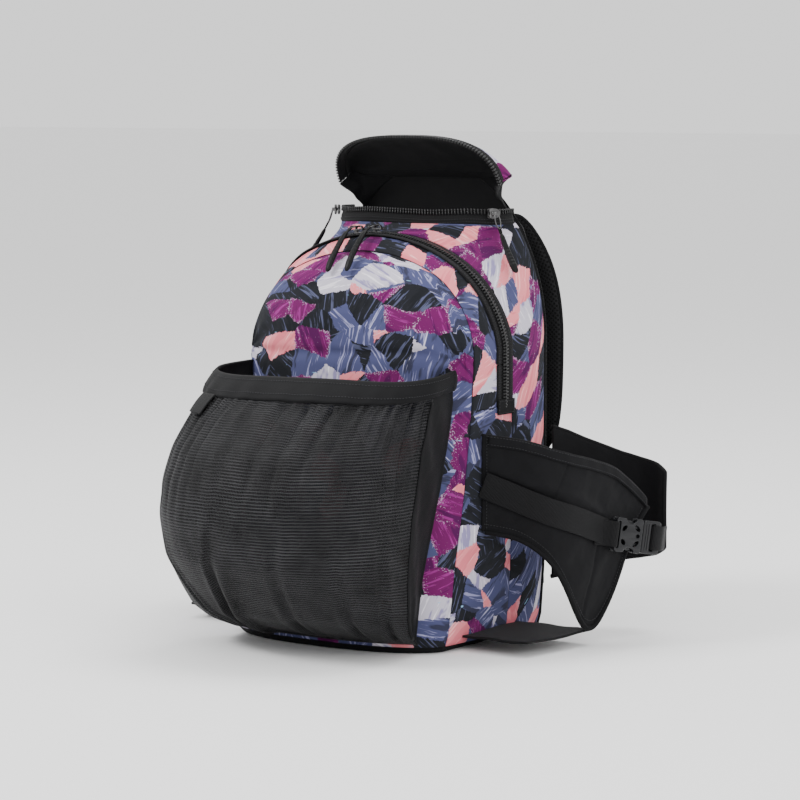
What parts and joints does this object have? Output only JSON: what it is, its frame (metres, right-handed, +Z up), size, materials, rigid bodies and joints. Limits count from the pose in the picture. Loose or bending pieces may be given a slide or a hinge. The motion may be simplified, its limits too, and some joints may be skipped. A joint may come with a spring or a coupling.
{
  "type": "ski boot bag",
  "caption": "Backpack for ski gear with boot wings, a stretch helmet net, an open top lid and a fold-down front flap.",
  "frame": {"origin": "point on the flat underside of the base, in the left-right middle, level with the middle of the boots carried in the wings", "axes": "+Z up, the helmet net faces -Y, the back panel and shoulder straps face +Y, +X is the right wing seen from the front"},
  "size_m": [0.4992, 0.4079, 0.4779],
  "materials": {
    "printed_fabric": null,
    "black_fabric": "matt woven polyester",
    "stretch_fabric": "matt stretch knit",
    "stretch_net": "fine ribbed stretch mesh",
    "softshell": "matt bonded softshell",
    "lining": "plain black lining",
    "stiffener": "plain board",
    "padded_mesh": "padded spacer mesh",
    "webbing": "ribbed woven webbing",
    "zip_teeth": "moulded teeth on woven tape",
    "buckle_plastic": "fine textured acetal",
    "cord_rubber": "satin rubber over cord",
    "gunmetal": "gunmetal plated"
  },
  "bodies": {
    "bag": {"base_panel": "black_fabric", "base_board": "stiffener", "front_panel": "printed_fabric", "front_gusset_l": "printed_fabric", "front_gusset_r": "printed_fabric", "front_zip_body_side": "zip_teeth", "front_zip_foot_l": "zip_teeth", "front_zip_foot_r": "zip_teeth", "side_panel_l": "printed_fabric", "side_panel_r": "printed_fabric", "top_panel": "printed_fabric", "main_zip_body_side": "zip_teeth", "divider_panel": "lining", "back_panel": "padded_mesh", "back_piping_l": "black_fabric", "back_piping_r": "black_fabric", "helmet_net": "stretch_net", "net_band": "stretch_fabric", "net_gusset_l": "stretch_fabric", "net_gusset_r": "stretch_fabric", "net_tab": "webbing", "wing_l": "softshell", "wing_r": "softshell", "boot_stirrup_l": "softshell", "boot_stirrup_r": "softshell", "wing_webbing_l": "webbing", "wing_webbing_r": "webbing", "rear_flap_l": "softshell", "rear_flap_r": "softshell", "buckle_socket_l": "buckle_plastic", "buckle_socket_r": "buckle_plastic"},
    "lid": {"lid": "printed_fabric", "main_zip_lid_side": "zip_teeth"},
    "front_flap": {"front_flap": "printed_fabric", "flap_gusset": "printed_fabric", "front_zip_flap_side": "zip_teeth"},
    "front_slider_a": {"front_slider_a": "gunmetal"},
    "front_slider_b": {"front_slider_b": "gunmetal"},
    "front_pull_a": {"front_pull_a": "cord_rubber"},
    "front_pull_b": {"front_pull_b": "cord_rubber"},
    "main_slider_l": {"main_slider_l": "gunmetal"},
    "main_slider_r": {"main_slider_r": "gunmetal"},
    "main_pull_l": {"main_pull_l": "cord_rubber"},
    "main_pull_r": {"main_pull_r": "cord_rubber"},
    "haul_handle": {"haul_handle": "webbing"},
    "harness_l": {"shoulder_strap_l": "padded_mesh", "ladder_lock_l": "buckle_plastic", "strap_webbing_l": "webbing"},
    "harness_r": {"shoulder_strap_r": "padded_mesh", "ladder_lock_r": "buckle_plastic", "strap_webbing_r": "webbing"},
    "clip_l": {"buckle_clip_l": "buckle_plastic", "clip_webbing_l": "webbing"},
    "clip_r": {"buckle_clip_r": "buckle_plastic", "clip_webbing_r": "webbing"},
    "prong_upper_l": {"buckle_prong_upper_l": "buckle_plastic"},
    "prong_lower_l": {"buckle_prong_lower_l": "buckle_plastic"},
    "prong_upper_r": {"buckle_prong_upper_r": "buckle_plastic"},
    "prong_lower_r": {"buckle_prong_lower_r": "buckle_plastic"}
  },
  "joints": [
    {"name": "lid_hinge", "type": "hinge", "parent": "bag", "child": "lid", "pos_m": [0, 0.112, 0.44], "axis": [1, 0, 0], "range_deg": [0, 60]},
    {"name": "front_flap_hinge", "type": "hinge", "parent": "bag", "child": "front_flap", "pos_m": [0, -0.054, 0.264], "axis": [1, 0, 0], "range_deg": [0, 50]},
    {"name": "front_slider_a_travel", "type": "hinge", "parent": "front_flap", "child": "front_slider_a", "pos_m": [0, 0.016, 0.204], "axis": [0, 1, 0], "range_deg": [-14, 0]},
    {"name": "front_slider_b_travel", "type": "hinge", "parent": "front_flap", "child": "front_slider_b", "pos_m": [0, 0.016, 0.204], "axis": [0, 1, 0], "range_deg": [0, 20]},
    {"name": "front_pull_a_swing", "type": "hinge", "parent": "front_slider_a", "child": "front_pull_a", "pos_m": [-0.02368, 0.016, 0.39141], "axis": [-1, 0, 0], "range_deg": [0, 70]},
    {"name": "front_pull_b_swing", "type": "hinge", "parent": "front_slider_b", "child": "front_pull_b", "pos_m": [-0.00132, 0.016, 0.3929], "axis": [-1, 0, 0], "range_deg": [0, 70]},
    {"name": "main_slider_l_travel", "type": "slide", "parent": "bag", "child": "main_slider_l", "axis": [-0.4526, 0.8917, 0], "range_m": [0, 0.01]},
    {"name": "main_pull_l_swing", "type": "hinge", "parent": "main_slider_l", "child": "main_pull_l", "pos_m": [-0.09723, 0.07291, 0.404], "axis": [-0.4636, 0.886, 0], "range_deg": [0, 60]},
    {"name": "main_slider_r_travel", "type": "slide", "parent": "bag", "child": "main_slider_r", "axis": [0.4526, 0.8917, 0], "range_m": [0, 0.01]},
    {"name": "main_pull_r_swing", "type": "hinge", "parent": "main_slider_r", "child": "main_pull_r", "pos_m": [0.09723, 0.07291, 0.404], "axis": [-0.4636, -0.886, 0], "range_deg": [0, 60]},
    {"name": "haul_handle_swing", "type": "hinge", "parent": "bag", "child": "haul_handle", "pos_m": [0, 0.1334, 0.404], "axis": [-1, 0, 0], "range_deg": [0, 60]},
    {"name": "shoulder_strap_l_swing", "type": "hinge", "parent": "bag", "child": "harness_l", "pos_m": [-0.05, 0.1313, 0.398], "axis": [-0.1581, -0.0042, -0.9874], "range_deg": [-5, 8]},
    {"name": "clip_l_release", "type": "slide", "parent": "bag", "child": "clip_l", "axis": [-0.3564, 0.9208, -0.1584], "range_m": [0, 0.03]},
    {"name": "prong_upper_l_squeeze", "type": "hinge", "parent": "clip_l", "child": "prong_upper_l", "pos_m": [-0.23672, 0.1122, 0.10736], "axis": [0.9326, 0.361, 0], "range_deg": [0, 5]},
    {"name": "prong_lower_l_squeeze", "type": "hinge", "parent": "clip_l", "child": "prong_lower_l", "pos_m": [-0.23585, 0.10996, 0.09236], "axis": [-0.9326, -0.361, 0], "range_deg": [0, 5]},
    {"name": "shoulder_strap_r_swing", "type": "hinge", "parent": "bag", "child": "harness_r", "pos_m": [0.05, 0.1313, 0.398], "axis": [-0.1581, 0.0042, 0.9874], "range_deg": [-5, 8]},
    {"name": "clip_r_release", "type": "slide", "parent": "bag", "child": "clip_r", "axis": [0.3564, 0.9208, -0.1584], "range_m": [0, 0.03]},
    {"name": "prong_upper_r_squeeze", "type": "hinge", "parent": "clip_r", "child": "prong_upper_r", "pos_m": [0.23672, 0.1122, 0.10736], "axis": [0.9326, -0.361, 0], "range_deg": [0, 5]},
    {"name": "prong_lower_r_squeeze", "type": "hinge", "parent": "clip_r", "child": "prong_lower_r", "pos_m": [0.23585, 0.10996, 0.09236], "axis": [-0.9326, 0.361, 0], "range_deg": [0, 5]}
  ],
  "couplings": [
    {"joint": "prong_lower_l_squeeze", "follows": "prong_upper_l_squeeze", "ratio": 1},
    {"joint": "prong_lower_r_squeeze", "follows": "prong_upper_r_squeeze", "ratio": 1}
  ]
}
